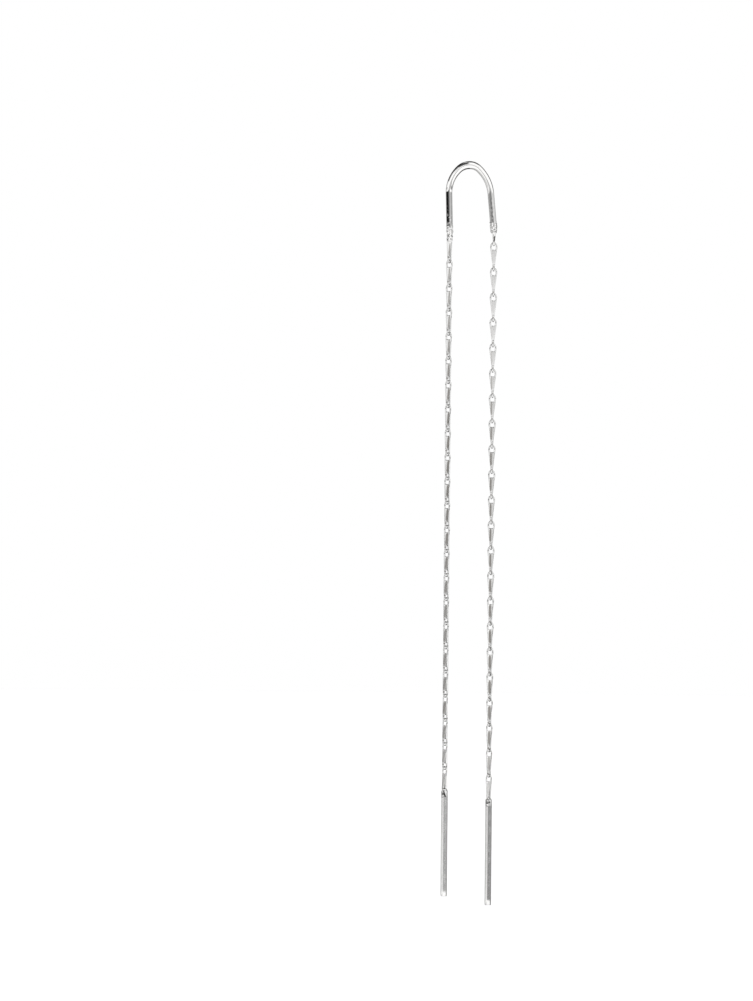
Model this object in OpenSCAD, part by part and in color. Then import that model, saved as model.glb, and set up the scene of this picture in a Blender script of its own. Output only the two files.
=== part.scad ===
// Threader earring: a bent ear wire carries two fine chains of hairpin links, and each chain ends in a
// round threading bar. The origin is the middle of the wire at the top of its bend, where it hangs.

/* [Ear wire] */
// Thickness of the wire at the top of its bend
wire_top_d = 1.28; // [1.1:0.01:1.4]
// Thickness of the wire down its two legs
wire_leg_d = 1.05; // [0.95:0.01:1.1]
// Radius of the bend beside its top, left side
crown_r_left = 2.5; // [2.2:0.01:2.8]
// Radius of the bend beside its top, right side
crown_r_right = 2.13; // [2:0.01:2.4]
// Turn that the left crown takes, degrees from the top
crown_turn_left = 45.5; // [40:0.5:50]
// Turn that the right crown takes, degrees from the top
crown_turn_right = 43; // [40:0.5:50]
// Radius of the long shoulder below the left crown
shoulder_r_left = 5.24; // [4.8:0.01:5.6]
// Radius of the long shoulder below the right crown
shoulder_r_right = 6.26; // [5.8:0.01:6.6]
// Lean of the left leg towards the middle, degrees
leg_lean_left = 1.6; // [0:0.1:3]
// Lean of the right leg away from the middle, degrees
leg_lean_right = 5.3; // [3:0.1:6]
// Straight length of the left leg
leg_len_left = 6.07; // [5.5:0.01:6.6]
// Straight length of the right leg
leg_len_right = 5.91; // [5.4:0.01:6.4]

/* [Chain links] */
// Loose links in the left chain
links_left = 23; // [20:1:25]
// Loose links in the right chain
links_right = 22; // [20:1:25]
// Pitch of the left chain, from rim to rim
pitch_left = 3.86; // [3.6:0.01:4.2]
// Pitch of the right chain, from rim to rim
pitch_right = 4.05; // [3.6:0.01:4.3]
// Thickness of a link's wire at its eye
link_wire_d = 0.25; // [0.22:0.01:0.26]
// Half the width of a link's eye, to the middle of its wire
eye_half = 0.45; // [0.44:0.005:0.48]
// Radius of the eye at its top, to the middle of its wire
eye_top_r = 0.36; // [0.35:0.005:0.38]
// Turn that the eye's top arc takes to each side, degrees
eye_top_turn = 54; // [50:1:56]
// Depth from the eye's rim to the flat top edge of the filled body
eye_floor = 1.09; // [1:0.01:1.25]
// Radius of the hook round the next rim, to the middle of its wire
hook_r = 0.43; // [0.4:0.005:0.44]
// Thickness of each of the hook's two wires
hook_wire_d = 0.16; // [0.15:0.005:0.17]
// Half the spacing of the hook's two wires
hook_pair = 0.06; // [0.055:0.005:0.065]
// Height above the next rim at which the body is filled
hook_gap = 0.55; // [0.5:0.01:0.65]
// Turn of the left chain's links at its top, degrees
turn_left_top = -28; // [-40:1:-20]
// Turn of the left chain's links at its foot, degrees
turn_left_foot = -51; // [-60:1:-45]
// Links of the right chain that face straight forward
facing_links = 5; // [3:1:8]
// Turn of the right chain's links at its foot, degrees
turn_right_foot = -33; // [-45:1:-25]
// Drop from the left leg's end to the first rim
hang_left = 0.75; // [0.7:0.01:0.8]
// Drop from the right leg's end to the first rim
hang_right = 1.96; // [1.8:0.01:2.1]

/* [Threading bars] */
// Diameter of a bar
bar_d = 1.05; // [1:0.01:1.08]
// Length of a bar, from its top to its foot
bar_len = 16.95; // [15.5:0.05:18.5]
// Chamfer at both ends of a bar
bar_chamfer = 0.12; // [0.08:0.01:0.15]
// Rise of a bar's top above the pin that it hangs by
bar_rise = 0.1; // [0.09:0.01:0.12]
// Width of the slot across a bar's top, in which the last hook swings
slot_w = 0.6; // [0.58:0.01:0.64]
// Depth of the slot below the pin
slot_depth = 0.66; // [0.64:0.01:0.75]

/* [Hidden] */
$fn = 32;
wire_r = link_wire_d / 2;
hook_wire_r = hook_wire_d / 2;
// How far the ball at each bend of a link stands proud of the wire, as a solder joint does
proud = 0.004;
// The pin in the slot of a bar
pin_r = 0.095;
// How far a soldered wire runs into its neighbour
solder_depth = 0.1;
// How far a cut link runs up into the leg that it is soldered to
root_depth = 0.16;
// How far the filled body stands before the middle of the legs, at the front and at the back
web_front = wire_r / 3;
// Facets of the bent wire: sides of its section, and turn between two sections
wire_sides = 20;
turn_step = 5;
leg_chamfer = 0.1;
// The side arcs of a link's eye, which run on from its top arc
eye_side_r = (eye_half - eye_top_r * sin(eye_top_turn)) / (1 - sin(eye_top_turn));
eye_side_x = eye_half - eye_side_r;
eye_side_z = -eye_top_r * (1 - cos(eye_top_turn)) - eye_side_r * cos(eye_top_turn);

// Point on one side of the wire's bend, t degrees of turn from its top
function bend_point(t, crown_r, crown_turn, shoulder_r) =
    t <= crown_turn
    ? [crown_r * sin(t), -crown_r * (1 - cos(t))]
    : [
        crown_r * sin(crown_turn) + shoulder_r * (sin(t) - sin(crown_turn)),
        -crown_r * (1 - cos(crown_turn)) - shoulder_r * (cos(crown_turn) - cos(t))
    ];

// Radius of the wire where a part f of the bend's turn is done
function bend_radius(f) = (wire_top_d + (wire_leg_d - wire_top_d) * f * f * (3 - 2 * f)) / 2;

// Sections of one side, from the top to the leg's end, each as x, z, turn and radius
function side_sections(first, crown_r, crown_turn, shoulder_r, full_turn, leg_len) =
    let (
        steps = ceil(full_turn / turn_step),
        foot = bend_point(full_turn, crown_r, crown_turn, shoulder_r),
        down = [cos(full_turn), -sin(full_turn)],
        leg_r = wire_leg_d / 2,
        neck = foot + (leg_len - leg_chamfer) * down,
        end = foot + leg_len * down
    ) concat(
        [
            for (i = [first:steps])
            let (
                t = full_turn * i / steps,
                p = bend_point(t, crown_r, crown_turn, shoulder_r)
            ) [p[0], p[1], t, bend_radius(i / steps)]
        ],
        [
            [neck[0], neck[1], full_turn, leg_r],
            [end[0], end[1], full_turn, leg_r - leg_chamfer]
        ]
    );

left_side = side_sections(
    1, crown_r_left, crown_turn_left, shoulder_r_left, 90 + leg_lean_left, leg_len_left
);
right_side = side_sections(
    0, crown_r_right, crown_turn_right, shoulder_r_right, 90 - leg_lean_right, leg_len_right
);
left_end = left_side[len(left_side) - 1];
right_end = right_side[len(right_side) - 1];
left_x = -left_end[0];
right_x = right_end[0];
// Heights of the rims that the first links and the bars hang by
left_rim = left_end[1] - hang_left;
right_rim = right_end[1] - hang_right;
left_bar_rim = left_rim - links_left * pitch_left;
right_bar_rim = right_rim - links_right * pitch_right;

// Turn of link k, counted from the top of its chain
function left_turn(k) = turn_left_top + (turn_left_foot - turn_left_top) * k / links_left;
function right_turn(k) =
    turn_right_foot * max(0, k - facing_links) / (links_right - facing_links);

// Lean of a link's legs seen from the front, as the tangent from the eye's side arc to the hook
function leg_lean(drop) =
    let (
        dx = hook_pair - eye_side_x,
        dz = drop + eye_side_z,
        reach = norm([dx, dz])
    ) atan2(dz, dx) - acos(eye_side_r / reach);

// A round wire between two points, which may taper
module rod(p, q, r_start, r_end) {
    v = q - p;
    translate(p)
        rotate([0, acos(v[2] / norm(v)), atan2(v[1], v[0])])
            cylinder(h = norm(v), r1 = r_start, r2 = r_end);
}

// An arc of wire in the XZ plane round the centre x, z, between two angles from +X
module upright_arc(x, z, arc_r, from, to) {
    translate([x, 0, z])
        rotate([90, 0, 0])
            rotate([0, 0, from])
                rotate_extrude(angle = to - from)
                    translate([arc_r, 0])
                        circle(r = wire_r);
}

// The eye's arch: a top arc and two side arcs, which run on below the widest place by a lean
module eye_arch(lean) {
    upright_arc(0, -eye_top_r, eye_top_r, 90 - eye_top_turn, 90 + eye_top_turn);
    for (side = [0, 1])
        mirror([side, 0, 0]) {
            upright_arc(eye_side_x, eye_side_z, eye_side_r, -lean, 90 - eye_top_turn);
            translate([eye_top_r * sin(eye_top_turn), 0, eye_top_r * (cos(eye_top_turn) - 1)])
                sphere(r = wire_r + proud);
        }
}

// Section of the hook: two wires side by side
module hook_section() {
    for (side = [-1, 1])
        translate([0, side * hook_pair])
            circle(r = hook_wire_r);
}

// A block that tapers between two levels, each given as half its width and its height
module tapered_block(ends, thickness) {
    linear_extrude(thickness, center = true)
        polygon([
            [-ends[0][0], ends[0][1]],
            [-ends[1][0], ends[1][1]],
            [ends[1][0], ends[1][1]],
            [ends[0][0], ends[0][1]]
        ]);
}

// The lower part of a link, whose hook is centred at [0, 0, -drop]. Its legs start at start_x, start_z,
// and the filled body starts web_from below that and deepens towards the hook, front and back alike.
module link_tail(drop, start_x, start_z, web_from) {
    lean_front = asin(hook_r / (drop + start_z));
    leg_start = [start_x, 0, start_z];
    leg_foot = [
        hook_pair, -hook_r * cos(lean_front), hook_r * sin(lean_front) - drop
    ];
    // The body's top and foot, and how far down the legs' run a height is
    web_top = start_z - web_from;
    web_foot = hook_gap - drop;
    function run_at(z) = (start_z - z) / (start_z - leg_foot[2]);
    wide = [
        for (z = [web_top + solder_depth, web_foot - solder_depth])
        [start_x + (hook_pair - start_x) * run_at(z), z]
    ];
    deep = [for (z = [web_top, web_foot]) [web_front - leg_foot[1] * run_at(z), z]];
    back_len = (hook_gap - hook_r * sin(lean_front) + solder_depth) / cos(lean_front);

    for (side = [0, 1])
        mirror([side, 0, 0]) {
            rod(leg_start, leg_foot, wire_r, hook_wire_r);
            for (y = [-1, 1])
                translate([hook_pair, y * leg_foot[1], leg_foot[2]])
                    sphere(r = hook_wire_r + proud);
        }
    intersection() {
        rotate([90, 0, 0])
            tapered_block(wide, bar_d);
        rotate([90, 0, 90])
            tapered_block(deep, 2 * bar_d);
    }
    translate([0, 0, -drop])
        rotate([90, 0, 90])
            rotate([0, 0, 180 - lean_front])
                rotate_extrude(angle = 180 + 2 * lean_front)
                    translate([hook_r, 0])
                        hook_section();
    translate([0, -leg_foot[1], leg_foot[2]])
        rotate([lean_front, 0, 0])
            linear_extrude(back_len)
                rotate([0, 0, 90])
                    hook_section();
}

// One whole link, hanging from the middle of its rim at [0, 0, 0]
module link(pitch) {
    lean = leg_lean(pitch);
    foot_x = eye_side_x + eye_side_r * cos(lean);
    foot_z = eye_side_z - eye_side_r * sin(lean);
    eye_arch(lean);
    for (side = [-1, 1])
        translate([side * foot_x, 0, foot_z])
            sphere(r = wire_r + proud);
    link_tail(pitch, foot_x, foot_z, eye_floor + foot_z);
}

// A cut link soldered below a leg of the ear wire, down to the rim at [0, 0, 0]
module cut_link(hang, pitch) {
    lean = leg_lean(pitch);
    top_z = hang + root_depth;
    translate([0, 0, top_z])
        link_tail(top_z, hook_pair + (top_z - hook_r) * tan(lean), 0, 0);
}

// The bent wire as one skin swept through its sections
module bent_wire() {
    left_rev = [
        for (i = [len(left_side) - 1:-1:0])
        let (s = left_side[i]) [-s[0], s[1], -s[2], s[3]]
    ];
    sections = concat(left_rev, right_side);
    last = len(sections) - 1;
    points = [
        for (s = sections, k = [0:wire_sides - 1])
        let (a = 360 * k / wire_sides)
        [s[0] + s[3] * cos(a) * sin(s[2]), s[3] * sin(a), s[1] + s[3] * cos(a) * cos(s[2])]
    ];
    skin = [
        for (i = [0:last - 1], k = [0:wire_sides - 1])
        let (
            a = i * wire_sides + k,
            b = i * wire_sides + (k + 1) % wire_sides
        )
        each [[a, b, b + wire_sides], [a, b + wire_sides, a + wire_sides]]
    ];
    first_cap = [for (k = [wire_sides - 1:-1:0]) k];
    last_cap = [for (k = [0:wire_sides - 1]) last * wire_sides + k];
    polyhedron(points, concat(skin, [first_cap, last_cap]));
}

// A round bar whose slotted top holds a pin, on which it hangs and swings. The pin is at [0, 0, 0].
module bar() {
    r = bar_d / 2;
    foot = bar_len - bar_rise;
    difference() {
        rotate_extrude()
            polygon([
                [0, bar_rise],
                [r - bar_chamfer, bar_rise],
                [r, bar_rise - bar_chamfer],
                [r, bar_chamfer - foot],
                [r - bar_chamfer, -foot],
                [0, -foot]
            ]);
        translate([-slot_w / 2, -bar_d, -slot_depth])
            cube([slot_w, 2 * bar_d, slot_depth + bar_d]);
    }
    pin_half = slot_w / 2 + solder_depth;
    rod([-pin_half, 0, 0], [pin_half, 0, 0], pin_r, pin_r);
}

module ear_wire() {
    color("silver") {
        bent_wire();
        translate([left_x, 0, left_rim])
            rotate([0, 0, left_turn(0)])
                cut_link(hang_left, pitch_left);
        translate([right_x, 0, right_rim])
            rotate([0, 0, right_turn(0)])
                cut_link(hang_right, pitch_right);
    }
}

module chain_left() {
    color("gainsboro")
        for (k = [0:links_left - 1])
            translate([left_x, 0, left_rim - k * pitch_left])
                rotate([0, 0, left_turn(k)])
                    link(pitch_left);
}

module chain_right() {
    color("lightgray")
        for (k = [0:links_right - 1])
            translate([right_x, 0, right_rim - k * pitch_right])
                rotate([0, 0, right_turn(k)])
                    link(pitch_right);
}

module bar_left() {
    color("silver")
        translate([left_x, 0, left_bar_rim])
            rotate([0, 0, left_turn(links_left)])
                bar();
}

module bar_right() {
    color("silver")
        translate([right_x, 0, right_bar_rim])
            rotate([0, 0, right_turn(links_right)])
                bar();
}

ear_wire();
chain_left();
chain_right();
bar_left();
bar_right();
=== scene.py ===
"""Looks of a threader earring: a bent silver wire, two hairpin-link chains and two threading bars.

All sizes are in millimetres on the bench, and each finished piece is brought to metres in the frame of the
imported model: the origin is the top of the wire's bend, +X is right, +Y is back and +Z is up.
"""

import logging
import math
from dataclasses import dataclass, field
from enum import Enum, IntEnum
from typing import Any, Callable, Sequence, Union

import bpy
from mathutils import Matrix, Vector


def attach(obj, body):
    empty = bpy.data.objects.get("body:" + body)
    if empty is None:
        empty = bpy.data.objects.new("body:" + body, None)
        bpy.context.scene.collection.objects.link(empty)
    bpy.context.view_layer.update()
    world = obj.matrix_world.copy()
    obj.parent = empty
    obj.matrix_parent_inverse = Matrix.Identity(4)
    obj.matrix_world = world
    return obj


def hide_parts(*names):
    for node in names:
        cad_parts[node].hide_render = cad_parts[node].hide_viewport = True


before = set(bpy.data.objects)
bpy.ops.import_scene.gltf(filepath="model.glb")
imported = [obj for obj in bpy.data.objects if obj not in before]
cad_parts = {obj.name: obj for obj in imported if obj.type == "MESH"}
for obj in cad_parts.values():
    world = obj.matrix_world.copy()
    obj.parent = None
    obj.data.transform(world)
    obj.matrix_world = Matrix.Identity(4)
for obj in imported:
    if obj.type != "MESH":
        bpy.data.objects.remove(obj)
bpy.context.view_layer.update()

LOG = logging.getLogger("earring")
METRES_PER_MM = 0.001
PHOTO_HEIGHT_PX = 1001
MM_PER_PX = 0.16
SAME_PLACE_MM = 0.001
MERGE_MM = 0.0001
STRAIGHT_DEG = 0.01
ROUND_STEPS = 4
X_AXIS = Vector((1, 0, 0))
Y_AXIS = Vector((0, 1, 0))
Z_AXIS = Vector((0, 0, 1))

Piece = bpy.types.Object
Number = Union["Signal", float]
Colour = tuple[float, float, float]
Pair = tuple[float, float]


class Body(Enum):
    """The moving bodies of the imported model."""

    EARRING = "earring"
    LEFT_BAR = "left_bar"
    RIGHT_BAR = "right_bar"


class Side(IntEnum):
    """The left and the right half, which is also the place of each in a pair of values."""

    LEFT = 0
    RIGHT = 1

    @property
    def sign(self) -> int:
        """Returns -1 for the left and 1 for the right."""
        return 2 * self - 1


class Slot(Enum):
    """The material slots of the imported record."""

    WIRE = "wire_silver"
    CHAIN = "chain_silver"
    BAR = "bar_silver"


class Signal:
    """One output socket of a shader, which adds Math nodes where it is used in an expression."""

    def __init__(self, sheet: "ShaderSheet", socket: bpy.types.NodeSocket) -> None:
        """Wraps a socket.

        Args:
            sheet: The sheet that the socket's node is on.
            socket: The output socket.
        """
        self.sheet = sheet
        self.socket = socket

    def _math(self, operation: str, *values: Number) -> "Signal":
        """Adds one Math node.

        Args:
            operation: The node's operation.
            values: Its inputs in order.

        Returns:
            The node's output.
        """
        return self.sheet.add("ShaderNodeMath", {"operation": operation}, dict(enumerate(values)))

    def __add__(self, other: Number) -> "Signal":
        """Returns self + other."""
        return self._math("ADD", self, other)

    __radd__ = __add__

    def __sub__(self, other: Number) -> "Signal":
        """Returns self - other."""
        return self._math("SUBTRACT", self, other)

    def __rsub__(self, other: Number) -> "Signal":
        """Returns other - self."""
        return self._math("SUBTRACT", other, self)

    def __mul__(self, other: Number) -> "Signal":
        """Returns self * other."""
        return self._math("MULTIPLY", self, other)

    __rmul__ = __mul__

    def __truediv__(self, other: Number) -> "Signal":
        """Returns self / other."""
        return self._math("DIVIDE", self, other)

    def __pow__(self, other: Number) -> "Signal":
        """Returns self to the power of other."""
        return self._math("POWER", self, other)

    def __abs__(self) -> "Signal":
        """Returns the size of self without its sign."""
        return self._math("ABSOLUTE", self)

    def fraction(self) -> "Signal":
        """Returns what is left of self above the whole number below it."""
        return self._math("FRACT", self)

    def largest(self, other: Number) -> "Signal":
        """Returns the larger of self and other."""
        return self._math("MAXIMUM", self, other)

    def smallest(self, other: Number) -> "Signal":
        """Returns the smaller of self and other."""
        return self._math("MINIMUM", self, other)

    def rises(self, start: float, end: float) -> "Signal":
        """Returns 0 at start and 1 at end, smoothly between them; start may be the larger."""
        sockets = {"Value": self, "From Min": start, "From Max": end}
        return self.sheet.add("ShaderNodeMapRange", {"interpolation_type": "SMOOTHSTEP"}, sockets)

    def follows(self, points: Sequence[Pair]) -> Number:
        """Returns a smooth course through the given points.

        Args:
            points: Values of self, rising, each with the value to return there.

        Returns:
            The value for self.
        """
        level: Number = points[0][1]
        for (start, before), (end, after) in zip(points, points[1:]):
            level = self.rises(start, end) * (after - before) + level
        return level

    def between(self, low: float, high: float, soft: float) -> "Signal":
        """Returns 1 between low and high and 0 outside, with soft borders.

        Args:
            low: Lower border.
            high: Upper border.
            soft: Half the width of each border.

        Returns:
            The mask.
        """
        return self.rises(low - soft, low + soft) * self.rises(high + soft, high - soft)


class ShaderSheet:
    """Adds the nodes of one material or of the world."""

    def __init__(self, tree: bpy.types.NodeTree) -> None:
        """Empties a node tree and keeps it."""
        self.tree = tree
        tree.nodes.clear()

    def add(
        self,
        kind: str,
        settings: dict[str, Any] | None = None,
        sockets: dict[str | int, Any] | None = None,
        out: str | int = 0,
    ) -> Signal:
        """Adds a node, sets its settings and then its sockets.

        Args:
            kind: The node's type.
            settings: The node's own settings.
            sockets: Values or signals for its inputs, by name or number.
            out: Name or number of the output that is returned.

        Returns:
            The chosen output.
        """
        node = self.tree.nodes.new(kind)
        for name, value in (settings or {}).items():
            setattr(node, name, value)
        for name, value in (sockets or {}).items():
            if isinstance(value, Signal):
                self.tree.links.new(value.socket, node.inputs[name])
            else:
                node.inputs[name].default_value = value
        return Signal(self, node.outputs[out] if len(node.outputs) else None)

    def parts(self, vector: Signal) -> tuple[Signal, Signal, Signal]:
        """Returns the three parts of a vector."""
        node = self.add("ShaderNodeSeparateXYZ", None, {0: vector}).socket.node
        return tuple(Signal(self, socket) for socket in node.outputs)

    def vector(self, x: Number, y: Number, z: Number) -> Signal:
        """Returns a vector made of three parts."""
        return self.add("ShaderNodeCombineXYZ", None, {0: x, 1: y, 2: z})

    def stretched(self, vector: Signal, scale: Sequence[float]) -> Signal:
        """Returns a vector with each part scaled on its own."""
        sockets = {0: vector, 1: tuple(scale)}
        return self.add("ShaderNodeVectorMath", {"operation": "MULTIPLY"}, sockets)

    def noise(self, vector: Signal, scale: float, detail: float = 2.0, rough: float = 0.5) -> Signal:
        """Returns soft noise of 0 to 1.

        Args:
            vector: Where it is read.
            scale: Waves for each unit of the vector.
            detail: How many finer layers it has.
            rough: How strong the finer layers are.

        Returns:
            The noise.
        """
        return self.add(
            "ShaderNodeTexNoise",
            {"noise_dimensions": "3D"},
            {"Vector": vector, "Scale": scale, "Detail": detail, "Roughness": rough},
            "Fac",
        )

    def cells(self, vector: Signal, scale: float) -> Signal:
        """Returns the distance to the nearest of scattered points."""
        return self.add("ShaderNodeTexVoronoi", None, {"Vector": vector, "Scale": scale}, "Distance")

    def blend(self, share: Number, low: Any, high: Any) -> Signal:
        """Mixes two colours.

        Args:
            share: Share of the second colour.
            low: The colour, or colour signal, at 0.
            high: The colour, or colour signal, at 1.

        Returns:
            The mixed colour.
        """
        node_sockets = {0: share, 6: low, 7: high}
        return self.add("ShaderNodeMix", {"data_type": "RGBA"}, node_sockets, 2)

    def principled(self, sockets: dict[str, Any]) -> None:
        """Ends a material's sheet with a Principled shader and the output."""
        shader = self.add("ShaderNodeBsdfPrincipled", None, sockets)
        self.add("ShaderNodeOutputMaterial", None, {"Surface": shader})

    def bump(self, height: Signal, distance: float, under: Signal | None = None) -> Signal:
        """Returns the normal of a surface with small relief.

        Args:
            height: The relief.
            distance: How many metres one unit of the height stands for.
            under: Normal of a finer relief that lies under this one.

        Returns:
            The normal.
        """
        sockets = {"Height": height, "Distance": distance, "Strength": 1.0}
        if under is not None:
            sockets["Normal"] = under
        return self.add("ShaderNodeBump", None, sockets)


class Surface(ShaderSheet):
    """The sheet of one piece's material, with the place on the piece in millimetres."""

    def __init__(self, tree: bpy.types.NodeTree) -> None:
        """Starts the sheet with the place and its three parts.

        Args:
            tree: The material's node tree.
        """
        super().__init__(tree)
        in_metres = self.add("ShaderNodeTexCoord", out="Object")
        self.place = self.stretched(in_metres, (1 / METRES_PER_MM,) * 3)
        self.x, self.y, self.z = self.parts(self.place)

    def stroke(self, x: Signal, z: Signal, top: Pair, foot: Pair, half: float) -> Signal:
        """Returns a mask of one slanting stroke, as seen from the front.

        Args:
            x: Place to the right.
            z: Height.
            top: Where the stroke starts.
            foot: Where it ends, lower down.
            half: Half its width.

        Returns:
            The mask.
        """
        soft_end, soft_side = 0.08, 0.05
        off = x - ((z - foot[1]) * ((top[0] - foot[0]) / (top[1] - foot[1])) + foot[0])
        return z.between(foot[1], top[1], soft_end) * abs(off).rises(half + soft_side, half)


@dataclass(frozen=True)
class SilverFinish:
    """What all the silver here shares: the metal, its patina together with painted shade, and the marks of
    drawing and wear.
    """

    name: str
    metal: Colour = (0.93, 0.925, 0.915)
    # Dark colour of the patina, and of the painted shade, shadow and dark reflection.
    tarnish_and_shade: Colour = (0.30, 0.285, 0.265)
    gloss_roughness: float = 0.06
    line_roughness: float = 0.06
    haze_roughness: float = 0.05
    scuff_roughness: float = 0.05
    solder_roughness: float = 0.12
    dark_roughness: float = 0.16
    haze_share: float = 0.35
    haze_shade: float = 0.94
    line_depth_mm: float = 0.0006
    grain_depth_mm: float = 0.012
    lines_per_mm: float = 55.0

    def material(self) -> bpy.types.Material:
        """Builds the shader from the finish's masks.

        Returns:
            The finished material.
        """
        made = bpy.data.materials.new(self.name)
        made.use_nodes = True
        on = Surface(made.node_tree)
        lines = self.lines(on)
        dark = self.tarnish_and_shade_mask(on)
        haze = on.noise(on.place, scale=0.9, detail=3.0, rough=0.6).rises(0.42, 0.72)
        scuffs = 1 - on.cells(on.stretched(on.place, (3.0, 3.0, 0.7)), scale=2.1).rises(0.0, 0.16)
        hazy = (*(part * self.haze_shade for part in self.metal), 1.0)
        tint = on.blend(haze * self.haze_share, (*self.metal, 1.0), hazy)
        roughness = (
            lines * self.line_roughness
            + haze * self.haze_roughness
            + scuffs * self.scuff_roughness
            + self.solder(on) * self.solder_roughness
            + dark * self.dark_roughness
            + self.gloss_roughness
        )
        fine = on.bump(lines, self.line_depth_mm * METRES_PER_MM)
        on.principled(
            {
                # The base colour darkens by the mask of patina and of painted shade, shadow and dark
                # reflection.
                "Base Color": on.blend(dark, tint, (*self.tarnish_and_shade, 1.0)),
                "Metallic": 1.0,
                "Roughness": roughness,
                "Normal": on.bump(self.relief(on), METRES_PER_MM, fine),
            }
        )
        return made

    def lines(self, on: Surface) -> Signal:
        """Returns the height of the fine lines that a drawing die leaves along a straight piece."""
        along = on.stretched(on.place, (self.lines_per_mm, self.lines_per_mm, 0.35))
        return on.noise(along, scale=1.0, rough=0.6)

    def relief(self, on: Surface) -> Signal:
        """Returns how many millimetres the surface stands proud where it is uneven."""
        grain = on.noise(on.place, scale=5.5, detail=3.0, rough=0.55)
        return grain * self.solder(on) * self.grain_depth_mm

    def solder(self, on: Surface) -> Signal:
        """Returns a mask of the soldered places, which are uneven."""
        raise NotImplementedError

    def tarnish_and_shade_mask(self, on: Surface) -> Signal:
        """Returns a mask of the places darkened by patina and by painted shade."""
        raise NotImplementedError


@dataclass(frozen=True)
class WireFinish(SilverFinish):
    """Mirror-bright drawn wire, uneven and darker round its two solder joints, with painted shadow down the
    right cut link's neck.
    """

    gloss_roughness: float = 0.015
    line_roughness: float = 0.02
    haze_roughness: float = 0.03
    line_depth_mm: float = 0.0001
    grain_depth_mm: float = 0.003
    solder_roughness: float = 0.03
    # Dark colour of the solder specks and of the painted shadow on the cut link's neck.
    tarnish_and_shade: Colour = (0.15, 0.145, 0.14)
    solder_heights: Pair = (-9.48, -10.38)
    speck_share: float = 0.85
    wave_depth_mm: float = 0.02
    wave_heights: Pair = (-3.0, -9.0)
    # Where the painted shadow runs down the right cut link's neck.
    neck_shadow_top: Pair = (4.22, -11.3)
    neck_shadow_foot: Pair = (4.02, -12.25)
    neck_shadow_half: float = 0.17

    def lines(self, on: Surface) -> Signal:
        """Returns lines that run along the bend, as the front-to-back place stays the same there."""
        return on.noise(on.vector(on.y * self.lines_per_mm, 0.0, 0.0), scale=1.0, rough=0.6)

    def solder(self, on: Surface) -> Signal:
        """Returns a mask of the two ends of the wire."""
        return on.z.rises(*self.solder_heights)

    def tarnish_and_shade_mask(self, on: Surface) -> Signal:
        """Finds the small dark specks in the solder, and the painted shadow down the neck of the right cut
        link.

        Args:
            on: The material's sheet.

        Returns:
            The mask.
        """
        specks = on.noise(on.place, scale=2.6).rises(0.56, 0.66) * self.solder(on)
        # Painted shadow: a dark stroke down the right cut link's neck, where its hook goes round the first
        # rim.
        neck = on.stroke(on.x, on.z, self.neck_shadow_top, self.neck_shadow_foot, self.neck_shadow_half)
        return (specks * self.speck_share).largest(neck)

    def relief(self, on: Surface) -> Signal:
        """Returns the unevenness of the solder, and the waves that heat left in the legs above it."""
        waves = on.noise(on.stretched(on.place, (1.0, 1.0, 0.6)), scale=1.7, detail=1.0)
        return super().relief(on) + waves * on.z.rises(*self.wave_heights) * self.wave_depth_mm


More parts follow.
